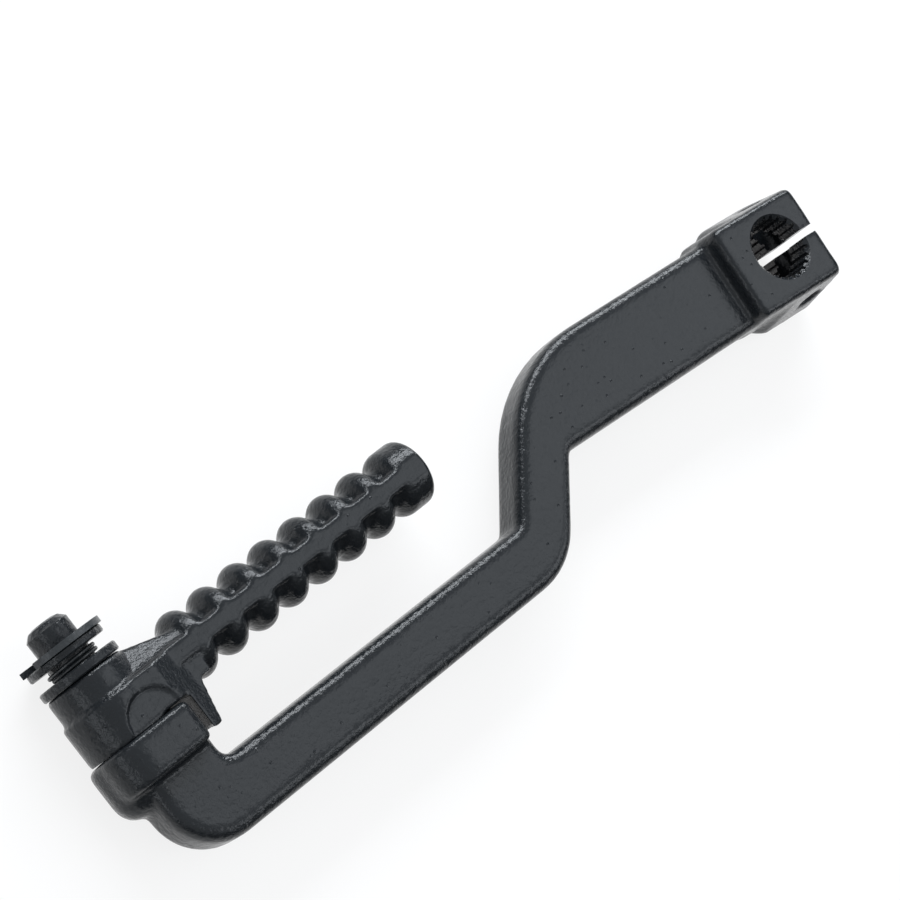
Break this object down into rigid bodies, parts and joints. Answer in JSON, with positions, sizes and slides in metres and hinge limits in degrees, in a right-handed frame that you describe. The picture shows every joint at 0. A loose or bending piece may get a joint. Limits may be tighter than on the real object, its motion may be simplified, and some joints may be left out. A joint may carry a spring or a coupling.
{
  "type": "kick start lever",
  "caption": "Folding kick start lever: cranked forged arm with a split splined clamp head and a ribbed peg that folds on a stud.",
  "frame": {"origin": "centre of the splined bore at the clamp head's back face", "axes": "+Z along the bore towards the outer side, +X along the lower arm towards the stud, folded peg on the -Y side"},
  "size_m": [0.2341, 0.0588, 0.022],
  "materials": {
    "arm_paint": "gloss",
    "stud_paint": "gloss",
    "pedal_paint": "gloss",
    "washer_paint": "gloss",
    "spring_steel": "satin",
    "keeper_paint": "gloss",
    "clip_steel": "satin"
  },
  "bodies": {
    "arm": {"kick_arm": "arm_paint", "pivot_stud": "stud_paint", "thrust_washer": "washer_paint", "detent_spring": "spring_steel", "retaining_washer": "keeper_paint", "circlip": "clip_steel"},
    "pedal": {"fold_pedal": "pedal_paint"}
  },
  "joints": [
    {"name": "pedal_fold", "type": "hinge", "parent": "arm", "child": "pedal", "pos_m": [0.2067, 0, 0.0095], "axis": [-0.0175, 0.9998, 0], "range_deg": [0, 90]}
  ]
}
